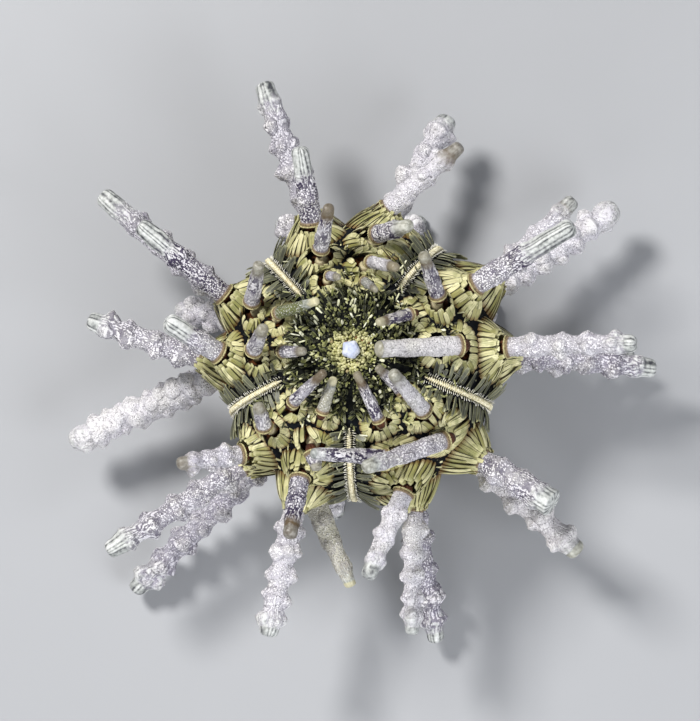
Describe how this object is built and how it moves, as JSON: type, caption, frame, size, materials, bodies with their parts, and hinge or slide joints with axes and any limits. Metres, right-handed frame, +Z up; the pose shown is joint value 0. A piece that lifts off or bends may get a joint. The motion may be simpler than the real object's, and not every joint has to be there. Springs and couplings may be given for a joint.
{
  "type": "dried sputnik sea urchin",
  "caption": "Whole dried pencil urchin with knobbly whorled spines, resting mouth down on its lower spine tips, for display or study.",
  "frame": {"origin": "on the floor, below the centre of the box round the whole urchin", "axes": "+Z up along the shell's own axis, from the mouth to the apical disc; +Y is the picture's up, +X its right"},
  "size_m": [0.088, 0.0826, 0.0406],
  "materials": {
    "foot_zone": "matt cream strip between black bands with dark olive blades",
    "spine_zone": "granular, pale lavender to white with purple between the grains, on yellow-green paddles",
    "apical_disc": "dark green-black granules and short olive blades",
    "periproct": "yellow-green granules",
    "anal_nub": "smooth, pale blue",
    "peristome": "dry overlapping scales, tan",
    "teeth": "smooth, ivory"
  },
  "bodies": {
    "root": {"foot_zone_1": "foot_zone", "spine_zone_1a": "spine_zone", "spine_zone_1b": "spine_zone", "foot_zone_2": "foot_zone", "spine_zone_2a": "spine_zone", "spine_zone_2b": "spine_zone", "foot_zone_3": "foot_zone", "spine_zone_3a": "spine_zone", "spine_zone_3b": "spine_zone", "foot_zone_4": "foot_zone", "spine_zone_4a": "spine_zone", "spine_zone_4b": "spine_zone", "foot_zone_5": "foot_zone", "spine_zone_5a": "spine_zone", "spine_zone_5b": "spine_zone", "apical_disc": "apical_disc", "periproct": "periproct", "anal_nub": "anal_nub", "peristome": "peristome", "teeth": "teeth"}
  },
  "joints": []
}
